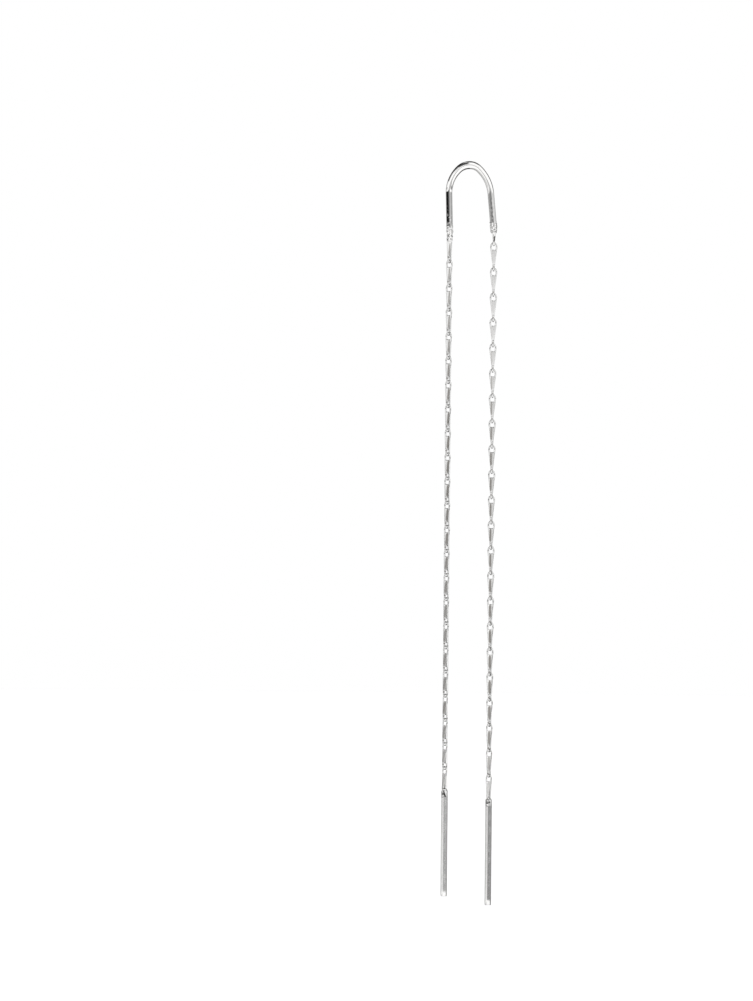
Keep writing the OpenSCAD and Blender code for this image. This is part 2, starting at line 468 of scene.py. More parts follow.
@dataclass(frozen=True)
class ChainFinish(SilverFinish):
    """Soft-bright links, with a painted dark reflection along their fronts, and patina with painted shade
    where one hook turns round the next rim.

    Spans are shares of the pitch below a rim. The core is a painted dark reflection down each body's front;
    its middle, half width and depth change from link to link, each as a row of link numbers and values.
    """

    metal: Colour = (0.84, 0.837, 0.83)
    gloss_roughness: float = 0.08
    grain_depth_mm: float = 0.0015
    first_rim: Vector = Vector((0, 0, -11.38))
    pitch: float = 3.86
    body_span: Pair = (0.28, 0.86)
    body_solder: float = 0.4
    # Where a hook bears on a rim: patina in the contact, and painted shade between hook and rim.
    contact_reach: Pair = (0.22, 0.1)
    contact_r: Pair = (0.26, 0.16)
    # The painted shadow in front just above each rim, where the hook's front run covers it.
    hook_shadow_height: float = 0.18
    hook_shadow_half: float = 0.1
    hook_shadow_share: float = 0.8
    hook_shadow_soft: float = 0.07
    hook_shadow_front: Pair = (-0.15, -0.25)
    contact_shade: float = 0.2
    contact_patches: float = 0.3
    # These shape the painted dark reflection down each body's front, and the painted shade to its right.
    core_span: Pair = (0.31, 0.79)
    core_rim: Pair = (0.06, -0.05)
    core_fade: Pair = (0.05, 0.4)
    core_front: Pair = (0.0, -0.06)
    core_middle: Sequence[Pair] = ((0, 0.0), (1, 0.0))
    core_half: Sequence[Pair] = ((0, 0.12), (1, 0.12))
    core_depth: Sequence[Pair] = ((0, 0.5), (1, 0.5))
    core_lean: float = 0.0
    core_spread: float = 0.0
    side_span: Pair = (0.27, 0.8)
    side_shade: float = 0.0

    def _step(self, on: Surface) -> tuple[Signal, Signal]:
        """Finds where in the chain a place is.

        Args:
            on: The material's sheet.

        Returns:
            The link's number, and the share of the pitch below its rim.
        """
        below = (on.z * -1.0 + self.first_rim.z) / self.pitch
        step = below.fraction()
        return below - step, step

    def _painted_reflection(self, on: Surface) -> Signal:
        """Finds the painted dark reflection along the front of each body, link by link, and the painted
        shade to its right.

        Args:
            on: The material's sheet.

        Returns:
            The mask.
        """
        link, step = self._step(on)
        off = on.x - self.first_rim.x - (step - 0.5) * self.core_lean - link.follows(self.core_middle)
        body = step.between(*self.core_span, 0.08)
        half = link.follows(self.core_half) * body * ((step - 0.5) * self.core_spread + 1.0)
        # Painted dark reflection: a band down each body's front, with painted shade to its right.
        core = (abs(off) - half).rises(*self.core_rim) * body.rises(*self.core_fade)
        beside = off.rises(0.0, 0.1) * step.between(*self.side_span, 0.04) * self.side_shade
        return core.largest(beside) * on.y.rises(*self.core_front) * link.follows(self.core_depth)

    def solder(self, on: Surface) -> Signal:
        """Returns a mask of the filled bodies and their soldered backs."""
        return self._step(on)[1].between(*self.body_span, 0.04) * self.body_solder

    def tarnish_and_shade_mask(self, on: Surface) -> Signal:
        """Finds where a hook bears on a rim, darkened by patina and painted shade, the painted shadow above
        it, and the painted dark reflections along the bodies.

        Args:
            on: The material's sheet.

        Returns:
            The mask.
        """
        off = on.x - self.first_rim.x
        from_middle = (off * off + on.y * on.y) ** 0.5
        _, step = self._step(on)
        far, near = (reach / self.pitch for reach in self.contact_reach)
        patchy = on.noise(on.place, scale=3.0, detail=3.0).rises(0.3, 0.62)
        # Patina in the hook's contact, and painted shade between the hook and the rim.
        contact = step.smallest(1 - step).rises(far, near) * from_middle.rises(*self.contact_r)
        # Painted shadow in front, just above each rim, under the hook's front run.
        low, high = (1 - (self.hook_shadow_height + d) / self.pitch for d in (self.hook_shadow_half, -self.hook_shadow_half))
        mark = step.between(low, high, self.hook_shadow_soft / self.pitch) * on.y.rises(*self.hook_shadow_front)
        contact = contact * (patchy * self.contact_patches + self.contact_shade)
        return contact.largest(mark * self.hook_shadow_share).largest(self._painted_reflection(on))


@dataclass(frozen=True)
class BarFinish(SilverFinish):
    """Drawn bar with fine lines along it, and a soldered top with painted shade in its slot and a painted
    shadow streak below it.
    """

    metal: Colour = (0.88, 0.877, 0.87)
    gloss_roughness: float = 0.07
    line_depth_mm: float = 0.0003
    # Dark colour of the solder specks and of the painted shade and shadow at the slot.
    tarnish_and_shade: Colour = (0.06, 0.058, 0.055)
    pin: Vector = Vector((0, 0, -100.16))
    top_span: Pair = (-0.9, -0.5)
    # Painted shade inside the slot.
    inner_r: Pair = (0.5, 0.4)
    patch_share: float = 0.2
    # The painted shadow streak at the slot.
    slot_shadow_top: Pair = (-0.21, 0.0)
    slot_shadow_foot: Pair = (0.14, -0.95)
    slot_shadow_half: float = 0.12
    slot_shadow_front: Pair = (0.3, 0.1)

    def solder(self, on: Surface) -> Signal:
        """Returns a mask of the bar's slotted top."""
        return (on.z - self.pin.z).rises(*self.top_span)

    def tarnish_and_shade_mask(self, on: Surface) -> Signal:
        """Finds the painted shade inside the slot, the dark specks of the solder, and the painted shadow
        streak below the slot.

        Args:
            on: The material's sheet.

        Returns:
            The mask.
        """
        off = on.x - self.pin.x
        # Painted shade inside the slot; the specks are dark spots of the solder.
        inside = (off * off + on.y * on.y).rises(*(r * r for r in self.inner_r))
        specks = on.noise(on.place, scale=3.2, detail=3.0).rises(0.5, 0.66)
        patches = inside.largest(specks) * self.patch_share * self.solder(on)
        # Painted shadow: a dark slanting streak where the hook passes through the slot.
        streak = on.stroke(off, on.z - self.pin.z, self.slot_shadow_top, self.slot_shadow_foot, self.slot_shadow_half)
        return patches.largest(streak * on.y.rises(*self.slot_shadow_front))


class Bench:
    """The edit-mode work that all pieces share."""

    @staticmethod
    def clear_selection() -> None:
        """Leaves edit mode and deselects every object."""
        if bpy.context.object is not None and bpy.context.object.mode != "OBJECT":
            bpy.ops.object.mode_set(mode="OBJECT")
        bpy.ops.object.select_all(action="DESELECT")

    @classmethod
    def only(cls, piece: Piece) -> None:
        """Selects one piece and makes it the active one.

        Args:
            piece: The piece.
        """
        cls.clear_selection()
        piece.select_set(True)
        bpy.context.view_layer.objects.active = piece

    @classmethod
    def modify(cls, piece: Piece, kind: str, **settings: Any) -> None:
        """Adds a modifier and applies it.

        Args:
            piece: The piece to change.
            kind: The modifier's type.
            settings: The modifier's settings.
        """
        cls.only(piece)
        modifier = piece.modifiers.new(kind.lower(), kind)
        for name, value in settings.items():
            setattr(modifier, name, value)
        bpy.ops.object.modifier_apply(modifier=modifier.name)

    @classmethod
    def join(cls, name: str, parts: Sequence[Piece]) -> Piece:
        """Joins several parts into one piece.

        Args:
            name: Name of the piece.
            parts: The parts, the first of which stays.

        Returns:
            The piece.
        """
        cls.clear_selection()
        for part in parts:
            part.select_set(True)
        bpy.context.view_layer.objects.active = parts[0]
        if len(parts) > 1:
            bpy.ops.object.join()
        piece = bpy.context.object
        piece.name = piece.data.name = name
        return piece

    @staticmethod
    def copy_of(piece: Piece, name: str) -> Piece:
        """Copies a piece together with its mesh.

        Args:
            piece: The piece.
            name: Name of the copy.

        Returns:
            The copy.
        """
        made = piece.copy()
        made.data = piece.data.copy()
        made.name = made.data.name = name
        bpy.context.scene.collection.objects.link(made)
        return made

    @staticmethod
    def discard(piece: Piece) -> None:
        """Removes a piece that was only a pattern or a cutter.

        Args:
            piece: The piece.
        """
        mesh = piece.data
        bpy.data.objects.remove(piece)
        bpy.data.meshes.remove(mesh)

    @classmethod
    def settle(cls, piece: Piece) -> None:
        """Writes a piece's place into its mesh, so that its object sits at the origin."""
        cls.only(piece)
        bpy.ops.object.transform_apply(location=True, rotation=True, scale=True)

    @staticmethod
    def begin(name: str) -> Piece:
        """Writes a new primitive's place into its mesh and opens edit mode on all of it.

        Args:
            name: Name of the primitive.

        Returns:
            The primitive.
        """
        piece = bpy.context.object
        piece.name = name
        bpy.ops.object.transform_apply(location=True, rotation=True, scale=True)
        bpy.ops.object.mode_set(mode="EDIT")
        bpy.ops.mesh.select_all(action="SELECT")
        return piece

    @classmethod
    def pick(cls, piece: Piece, elements: str, rule: Callable[[Any], bool]) -> None:
        """Opens edit mode with some vertices or edges of a piece selected.

        Args:
            piece: The piece.
            elements: Name of the row in its mesh: vertices or edges.
            rule: Says which of them are selected.
        """
        cls.only(piece)
        bpy.ops.object.mode_set(mode="EDIT")
        bpy.ops.mesh.select_all(action="DESELECT")
        bpy.ops.object.mode_set(mode="OBJECT")
        for element in getattr(piece.data, elements):
            element.select = rule(element)
        bpy.ops.object.mode_set(mode="EDIT")

    @classmethod
    def nudge(cls, piece: Piece, place: Vector, move: Vector) -> None:
        """Moves the vertices at one place of a piece.

        Args:
            piece: The piece.
            place: Where the vertices are.
            move: How far they go.
        """
        cls.pick(piece, "vertices", lambda vertex: (vertex.co - place).length < SAME_PLACE_MM)
        bpy.ops.transform.translate(value=move)
        bpy.ops.object.mode_set(mode="OBJECT")

    @classmethod
    def outward(cls, piece: Piece, merge: float = MERGE_MM) -> None:
        """Merges doubles and turns all faces outwards.

        Args:
            piece: The piece to clean.
            merge: Distance under which vertices merge.
        """
        cls.only(piece)
        bpy.ops.object.mode_set(mode="EDIT")
        bpy.ops.mesh.select_all(action="SELECT")
        bpy.ops.mesh.remove_doubles(threshold=merge)
        bpy.ops.mesh.normals_make_consistent(inside=False)
        bpy.ops.object.mode_set(mode="OBJECT")

    @classmethod
    def fuse(cls, piece: Piece, voxel: float, relax: int, faces: int) -> None:
        """Melts overlapping parts into one skin with soft fillets, as solder does.

        Args:
            piece: The joined parts.
            voxel: Size of the skin's cells in millimetres.
            relax: Rounds of smoothing.
            faces: How many triangles the skin keeps.
        """
        cls.modify(piece, "REMESH", mode="VOXEL", voxel_size=voxel, adaptivity=0.0)
        cls.modify(piece, "SMOOTH", factor=0.5, iterations=relax)
        cls.thin(piece, faces)

    @staticmethod
    def triangles(piece: Piece) -> int:
        """Returns how many triangles a piece has."""
        return sum(len(p.vertices) - 2 for p in piece.data.polygons)

    @classmethod
    def thin(cls, piece: Piece, faces: int) -> None:
        """Thins a piece's mesh, if need be.

        Args:
            piece: The piece.
            faces: How many triangles it keeps.
        """
        share = faces / cls.triangles(piece)
        if share < 1:
            cls.modify(piece, "DECIMATE", ratio=share, use_collapse_triangulate=True)

    @classmethod
    def finished(cls, piece: Piece, sharp_deg: float) -> Piece:
        """Shades a piece and brings it from the bench's millimetres to metres.

        Args:
            piece: The piece.
            sharp_deg: Angle above which an edge is left sharp.

        Returns:
            The piece.
        """
        cls.only(piece)
        bpy.ops.object.shade_smooth_by_angle(angle=math.radians(sharp_deg))
        piece.scale = (METRES_PER_MM,) * 3
        cls.settle(piece)
        return piece


class WireBender:
    """Bends one round wire: a ring is extruded along straights and spun round bends in edit mode."""

    def __init__(self, name: str, radius: float, start: Vector, heading: Vector, sides: int) -> None:
        """Starts a wire.

        Args:
            name: Name of the piece.
            radius: Radius of the wire.
            start: Middle of its first section.
            heading: Direction in which it leaves.
            sides: Sides of its section.
        """
        Bench.clear_selection()
        self.place = Vector(start)
        self.heading = Vector(heading).normalized()
        self.radius = radius
        turn = self.heading.to_track_quat("Z", "Y").to_euler()
        bpy.ops.mesh.primitive_circle_add(vertices=sides, radius=radius, location=self.place, rotation=turn)
        self.piece = Bench.begin(name)

    def straight(self, length: float, pieces: int = 1) -> None:
        """Draws the wire on in a straight line.

        Args:
            length: How far it goes.
            pieces: Sections that the line gets.
        """
        step = self.heading * (length / pieces)
        for _ in range(pieces):
            bpy.ops.mesh.extrude_region_move(TRANSFORM_OT_translate={"value": step})
            self.place += step

    def bend(self, axis: Vector, degrees: float, bend_r: float, steps: int) -> None:
        """Bends the wire round an axis through the middle of the bend.

        Args:
            axis: Direction of the axis; the turn follows the right hand.
            degrees: How far it turns.
            bend_r: Radius of the bend, to the middle of the wire.
            steps: Sections that the bend gets.
        """
        axis = Vector(axis).normalized()
        centre = self.place + bend_r * axis.cross(self.heading)
        angle = math.radians(degrees)
        bpy.ops.mesh.spin(steps=steps, angle=-angle, center=centre, axis=axis)
        turn = Matrix.Rotation(angle, 3, axis)
        self.place = centre + turn @ (self.place - centre)
        self.heading = turn @ self.heading

    def turn_to(self, direction: Vector, bend_r: float) -> None:
        """Turns the wire to a new direction in a small bend.

        Args:
            direction: The new direction.
            bend_r: Radius of the bend.
        """
        degrees = math.degrees(self.heading.angle(direction))
        if degrees > STRAIGHT_DEG:
            self.bend(self.heading.cross(direction.normalized()), degrees, bend_r, 2)

    def draw_to(self, radius: float) -> None:
        """Draws the last section down, or swells it.

        Args:
            radius: Its new radius.
        """
        share = radius / self.radius
        bpy.ops.transform.resize(value=(share,) * 3, center_override=self.place)
        self.radius = radius

    def round_edge(self, edge: float, inward: bool) -> None:
        """Rounds the edge of an end face by a quarter circle.

        Args:
            edge: Radius of the rounding.
            inward: Whether the wire ends here, and so is drawn in, or starts here.
        """
        full = self.radius if inward else self.radius + edge
        for k in range(1, ROUND_STEPS + 1):
            before, now = (math.radians(90 * j / ROUND_STEPS) for j in (k - 1, k))
            if inward:
                self.straight(edge * (math.sin(now) - math.sin(before)))
                self.draw_to(full - edge * (1 - math.cos(now)))
            else:
                self.straight(edge * (math.cos(before) - math.cos(now)))
                self.draw_to(full - edge * (1 - math.sin(now)))

    def finish(self, closed: bool = True) -> Piece:
        """Ends the wire and turns its faces outwards.

        Args:
            closed: Whether open ends are filled.

        Returns:
            The piece.
        """
        bpy.ops.mesh.select_all(action="SELECT")
        if closed:
            bpy.ops.mesh.fill_holes(sides=0)
        bpy.ops.mesh.normals_make_consistent(inside=False)
        bpy.ops.object.mode_set(mode="OBJECT")
        return self.piece


@dataclass
class LinkPattern:
    """One hairpin link: a round eye, two legs that close on a filled body, and a hook behind it."""

    pitch: float
    wire_d: float = 0.25
    eye_half: float = 0.45
    eye_top_r: float = 0.36
    eye_top_turn: float = 54.0
    eye_floor: float = 1.09
    hook_r: float = 0.43
    hook_wire_d: float = 0.16
    hook_pair: float = 0.06
    hook_gap: float = 0.55
    edge_round: float = 0.07
    top_share: float = 0.9
    low_share: float = 0.6
    front_slope: float = 0.14
    side_flush: float = 0.9
    kink_r: float = 0.1
    sides: int = 20
    eye_steps: int = 8
    leg_steps: int = 10
    hook_steps: int = 20
    relax: int = 3
    voxel: float = 0.017
    triangles: int = 4400

    def __post_init__(self) -> None:
        """Works out the eye's side arcs and the lean of the legs."""
        turn = math.radians(self.eye_top_turn)
        self.side_r = (self.eye_half - self.eye_top_r * math.sin(turn)) / (1 - math.sin(turn))
        self.side_x = self.eye_half - self.side_r
        self.side_z = -self.eye_top_r * (1 - math.cos(turn)) - self.side_r * math.cos(turn)
        run = Vector((self.hook_pair - self.side_x, self.pitch + self.side_z))
        self.lean = math.degrees(math.atan2(run.y, run.x) - math.acos(self.side_r / run.length))
        lean = math.radians(self.lean)
        self.foot_x = self.side_x + self.side_r * math.cos(lean)
        self.foot_z = self.side_z - self.side_r * math.sin(lean)

    def build(self, name: str) -> Piece:
        """Models a whole link that hangs from the origin.

        Args:
            name: Name of the pattern.

        Returns:
            The link, in millimetres.
        """
        arm = WireBender(f"{name}_arm", self.wire_d / 2, Vector(), X_AXIS, self.sides)
        arm.bend(Y_AXIS, self.eye_top_turn, self.eye_top_r, self.eye_steps)
        arm.bend(Y_AXIS, 90 - self.eye_top_turn + self.lean, self.side_r, self.eye_steps)
        self._tail(arm, self.pitch)
        wires = arm.finish(closed=False)
        body = self._body(f"{name}_body", self.pitch, self.foot_x, self.foot_z, -self.eye_floor)
        return self._fused(name, wires, body)

    def build_cut(self, name: str, drop: float) -> Piece:
        """Models a cut link that is soldered at its top, with its hook centred on the origin.

        Args:
            name: Name of the pattern.
            drop: Height of its cut top above the rim that it holds.

        Returns:
            The cut link, in millimetres.
        """
        start_x = self.hook_pair + (drop - self.hook_r) * math.tan(math.radians(self.lean))
        start = Vector((start_x, 0, 0))
        arm = WireBender(f"{name}_arm", self.wire_d / 2, start, -Z_AXIS, self.sides)
        self._tail(arm, drop)
        wires = arm.finish()
        body = self._body(f"{name}_body", drop, start_x, 0.0, 0.0)
        made = self._fused(name, wires, body)
        made.location.z = drop
        Bench.settle(made)
        return made

    def _fused(self, name: str, arm: Piece, body: Piece) -> Piece:
        """Mirrors the arm, joins it with the body and melts them into one skin.

        Args:
            name: Name of the link.
            arm: Half the link's wire.
            body: The filled body.

        Returns:
            The link, in millimetres.
        """
        Bench.modify(arm, "MIRROR", use_axis=(True, False, False), merge_threshold=MERGE_MM)
        made = Bench.join(name, [arm, body])
        Bench.outward(made)
        Bench.fuse(made, self.voxel, self.relax, self.triangles)
        return made

    def _hook_start(self, drop: float, start_z: float) -> Vector:
        """Works out where a leg meets the hook, as its tangent.

        Args:
            drop: Depth of the hook's middle below the origin.
            start_z: Height at which the leg starts.

        Returns:
            The place.
        """
        lean = math.asin(self.hook_r / (drop + start_z))
        back, up = self.hook_r * math.cos(lean), self.hook_r * math.sin(lean)
        return Vector((self.hook_pair, -back, up - drop))

    def _tail(self, arm: WireBender, drop: float) -> None:
        """Runs a leg on to the hook, round the next rim and up the back to where it started.

        Args:
            arm: The wire, at the top of the leg.
            drop: Depth of the hook's middle below the origin.
        """
        start = arm.place.copy()
        foot = self._hook_start(drop, start.z)
        lean = math.asin((foot.z + drop) / self.hook_r)
        arm.turn_to(foot - arm.place, 1.5 * self.kink_r)
        run = (foot - arm.place).length - self.kink_r / 10
        for k in range(1, self.leg_steps + 1):
            share = k / self.leg_steps
            arm.straight(run / self.leg_steps)
            arm.draw_to((self.wire_d + (self.hook_wire_d - self.wire_d) * share) / 2)
        arm.turn_to(Vector((0, -math.sin(lean), -math.cos(lean))), self.kink_r)
        arm.bend(X_AXIS, 180 + 2 * math.degrees(lean), self.hook_r, self.hook_steps)
        arm.straight(self.kink_r / 2)
        arm.turn_to(start - arm.place, self.kink_r)
        arm.straight((start - arm.place).length, self.leg_steps)
        bpy.ops.mesh.edge_face_add()

    def _body(self, name: str, drop: float, start_x: float, start_z: float, top: float) -> Piece:
        """Models the filled body between the four runs of wire, as a wedge that deepens to the hook.

        Args:
            name: Name of the part.
            drop: Depth of the hook's middle below the origin.
            start_x: Place of a leg's start to the side.
            start_z: Height of a leg's start.
            top: Height of the body's top.

        Returns:
            The body, in millimetres.
        """
        foot = self._hook_start(drop, start_z)
        low = self.hook_gap - drop
        sections = []
        full_depth = ((top - 2 * self.edge_round, 1.0), (low + self.edge_round, 1.0))
        for z, share in ((top, self.top_share), *full_depth, (low, self.low_share)):
            f = (start_z - z) / (start_z - foot.z)
            half_x = start_x + (foot.x - start_x) * f
            leg_r = (self.wire_d + (self.hook_wire_d - self.wire_d) * f) / 2
            sections.append((z, half_x, (self.wire_d / 3 - foot.y * f) * share, leg_r))
        z, half_x, half_y, _ = sections[0]
        Bench.clear_selection()
        bpy.ops.mesh.primitive_plane_add(size=2.0, location=(0, 0, z))
        piece = Bench.begin(name)
        bpy.ops.mesh.subdivide(number_cuts=1)
        bpy.ops.transform.resize(value=(half_x, half_y, 1), center_override=(0, 0, z))
        for next_z, next_x, next_y, _ in sections[1:]:
            bpy.ops.mesh.extrude_region_move(TRANSFORM_OT_translate={"value": (0, 0, next_z - z)})
            z = next_z
            bpy.ops.transform.resize(value=(next_x / half_x, next_y / half_y, 1), center_override=(0, 0, z))
            half_x, half_y = next_x, next_y
        bpy.ops.mesh.select_all(action="SELECT")
        bpy.ops.mesh.normals_make_consistent(inside=False)
        bpy.ops.object.mode_set(mode="OBJECT")
        for z, half_x, half_y, leg_r in sections:
            Bench.nudge(piece, Vector((0, -half_y, z)), Vector((0, -self.front_slope * half_x, 0)))
            for side in Side:
                corner = Vector((side.sign * half_x, -half_y, z))
                Bench.nudge(piece, corner, Vector((side.sign * self.side_flush * leg_r, 0, 0)))
        return piece


class Dressed:
    """What the sub-assemblies share: the node they replace, their body, their slot and their finish."""

    node: str
    body: Body
    slot: Slot
    finish: SilverFinish

    def dress(self, piece: Piece) -> None:
        """Gives a piece its finish and its place in the model.

        Args:
            piece: The piece that build made.
        """
        piece.data.materials.clear()
        piece.data.materials.append(self.finish.material())
        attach(piece, self.body.value)
        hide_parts(self.node)


@dataclass
class EarWire(Dressed):
    """The bent wire that passes through the ear, with a cut link soldered below each leg.

    A pair of values is for the left and the right half.
    """

    node: str = "ear_wire"
    body: Body = Body.EARRING
    slot: Slot = Slot.WIRE
    top_d: float = 1.28
    leg_d: float = 1.05
    crown_r: Pair = (2.5, 2.13)
    crown_turn: Pair = (45.5, 43.0)
    shoulder_r: Pair = (5.24, 6.26)
    full_turn: Pair = (91.6, 84.7)
    leg_len: Pair = (6.07, 5.91)
    hang: Pair = (0.75, 1.96)
    pitch: Pair = (3.86, 4.05)
    first_turn: Pair = (-28.0, 0.0)
    sides: int = 48
    leg_steps: int = 12
    step: float = 2.5
    end_round: float = 0.1
    root_depth: float = 0.16
    solder_skin: float = 0.012
    solder_up: Pair = (0.9, 1.4)
    lip_len: float = 0.05
    lip_depth: float = 0.04
    solder_run: tuple[Sequence[Pair], Sequence[Pair]] = (
        ((0.12, 0.5), (0.2, 0.44), (0.5, 0.43), (0.4, 0.44), (0.35, 0.36), (0.15, 0.2)),
        ((0.1, 0.5), (0.14, 0.42), (0.2, 0.26), (0.2, 0.15)),
    )
    run_steps: int = 3
    solder_sides: int = 32
    solder_relax: int = 2
    solder_fade: float = 0.3
    solder_voxel: float = 0.024
    solder_triangles: tuple[int, int] = (60000, 16000)
    lump_size: float = 0.3
    lump_depth: float = 0.21
    finish: SilverFinish = WireFinish("wire_silver")

    def leg_end(self, side: Side) -> Vector:
        """Works out where a leg ends.

        Args:
            side: Which leg.

        Returns:
            The middle of its end.
        """
        crown, full = (math.radians(a[side]) for a in (self.crown_turn, self.full_turn))
        r, big = self.crown_r[side], self.shoulder_r[side]
        x = r * math.sin(crown) + big * (math.sin(full) - math.sin(crown))
        z = -r * (1 - math.cos(crown)) - big * (math.cos(crown) - math.cos(full))
        x += self.leg_len[side] * math.cos(full)
        z -= self.leg_len[side] * math.sin(full)
        return Vector((side.sign * x, 0, z))

    def rim(self, side: Side) -> Vector:
        """Returns the middle of the first loose rim below a leg."""
        return self.leg_end(side) - Vector((0, 0, self.hang[side]))

    def _half(self, side: Side) -> Piece:
        """Bends one half of the wire, from the top of the bend to a leg's end.

        Args:
            side: Which half.

        Returns:
            The half, open at the top.
        """
        heading, axis = (side.sign * direction for direction in (X_AXIS, Y_AXIS))
        wire = WireBender(f"wire_half_{side.name}", self.top_d / 2, Vector(), heading, self.sides)
        turned = 0.0
        arcs = ((self.crown_turn, self.crown_r), (self.full_turn, self.shoulder_r))
        for limit, bend_r in ((turn[side], r[side]) for turn, r in arcs):
            steps = math.ceil((limit - turned) / self.step)
            each = (limit - turned) / steps
            for _ in range(steps):
                wire.bend(axis, each, bend_r, 1)
                turned += each
                f = turned / self.full_turn[side]
                ease = f * f * (3 - 2 * f)
                wire.draw_to((self.top_d + (self.leg_d - self.top_d) * ease) / 2)
        wire.straight(self.leg_len[side] - self.end_round, self.leg_steps)
        wire.round_edge(self.end_round, inward=True)
        bpy.ops.mesh.edge_face_add()
        return wire.finish(closed=False)

    def build(self) -> Piece:
        """Models the wire and its two cut links.

        Returns:
            The piece, in metres.
        """
        wire = Bench.join("bent_ear_wire", [self._half(side) for side in Side])
        Bench.outward(wire, SAME_PLACE_MM)
        parts = [wire]
        for side in Side:
            pattern = LinkPattern(self.pitch[side])
            tail = pattern.build_cut(f"cut_link_{side.name}", self.hang[side] + self.root_depth)
            tail.rotation_euler.z = math.radians(self.first_turn[side])
            tail.location = self.rim(side)
            Bench.settle(tail)
            parts.append(self._soldered(tail, self._solder(side), side))
        return Bench.finished(Bench.join("bent_ear_wire", parts), 40)

    def _solder(self, side: Side) -> Piece:
        """Runs solder over a leg's end and down its cut link.

        Args:
            side: Which leg.

        Returns:
            The smooth mass, which is still to be made uneven.
        """
        full = math.radians(self.full_turn[side])
        down = Vector((side.sign * math.cos(full), 0, -math.sin(full)))
        skin_r = self.leg_d / 2 + self.solder_skin
        up = self.solder_up[side]
        start = self.leg_end(side) - down * up
        mass = WireBender(f"solder_{side.name}", skin_r - self.lip_depth, start, down, self.solder_sides)
        mass.straight(self.lip_len)
        mass.draw_to(skin_r)
        mass.straight(up - 2 * self.lip_len, self.leg_steps)
        mass.heading = -Z_AXIS
        for step, radius in self.solder_run[side]:
            mass.straight(step, self.run_steps)
            mass.draw_to(radius)
        return mass.finish()

    def _soldered(self, tail: Piece, mass: Piece, side: Side) -> Piece:
        """Melts the solder and the cut link together and makes the solder uneven.

        Args:
            tail: The cut link.
            mass: The solder.
            side: Which leg.

        Returns:
            The joint.
        """
        joint = Bench.join(f"leg_joint_{side.name}", [tail, mass])
        Bench.outward(joint)
        Bench.fuse(joint, self.solder_voxel, self.solder_relax, self.solder_triangles[0])
        low = self.leg_end(side).z - sum(step for step, _ in self.solder_run[side])
        group = joint.vertex_groups.new(name="solder")
        for vertex in joint.data.vertices:
            share = min(max((vertex.co.z - low) / self.solder_fade, 0.0), 1.0)
            group.add([vertex.index], share, "REPLACE")
        lumps = bpy.data.textures.new(f"solder_lumps_{side.name}", "CLOUDS")
        lumps.noise_scale = self.lump_size
        lumps.noise_depth = 0
        Bench.modify(
            joint, "DISPLACE", texture=lumps, texture_coords="LOCAL", strength=self.lump_depth,
            mid_level=0.5, vertex_group="solder",
        )
        Bench.thin(joint, self.solder_triangles[1])
        return joint


@dataclass
class LinkChain(Dressed):
    """One chain of loose links, each turned a little further than the one above."""

    name: str
    node: str
    first_rim: Vector
    pitch: float
    count: int
    turns: Sequence[float]
    finish: SilverFinish
    odd_links: dict[int, dict[str, float]] = field(default_factory=dict)
    body: Body = Body.EARRING
    slot: Slot = Slot.CHAIN

    def build(self) -> Piece:
        """Models one link, and copies and places it for the whole chain.

        Returns:
            The chain, in metres.
        """
        pattern = LinkPattern(self.pitch).build(f"{self.name}_pattern")
        links = []
        for k in range(self.count):
            name = f"{self.name}_{k:02d}"
            if k in self.odd_links:
                link = LinkPattern(self.pitch, **self.odd_links[k]).build(name)
            else:
                link = Bench.copy_of(pattern, name)
            link.rotation_euler.z = math.radians(self.turns[k])
            link.location = self.first_rim - Vector((0, 0, k * self.pitch))
            links.append(link)
        Bench.discard(pattern)
        Bench.clear_selection()
        for link in links:
            link.select_set(True)
        bpy.context.view_layer.objects.active = links[0]
        bpy.ops.object.transform_apply(location=True, rotation=True, scale=True)
        return Bench.finished(Bench.join(self.name, links), 60)


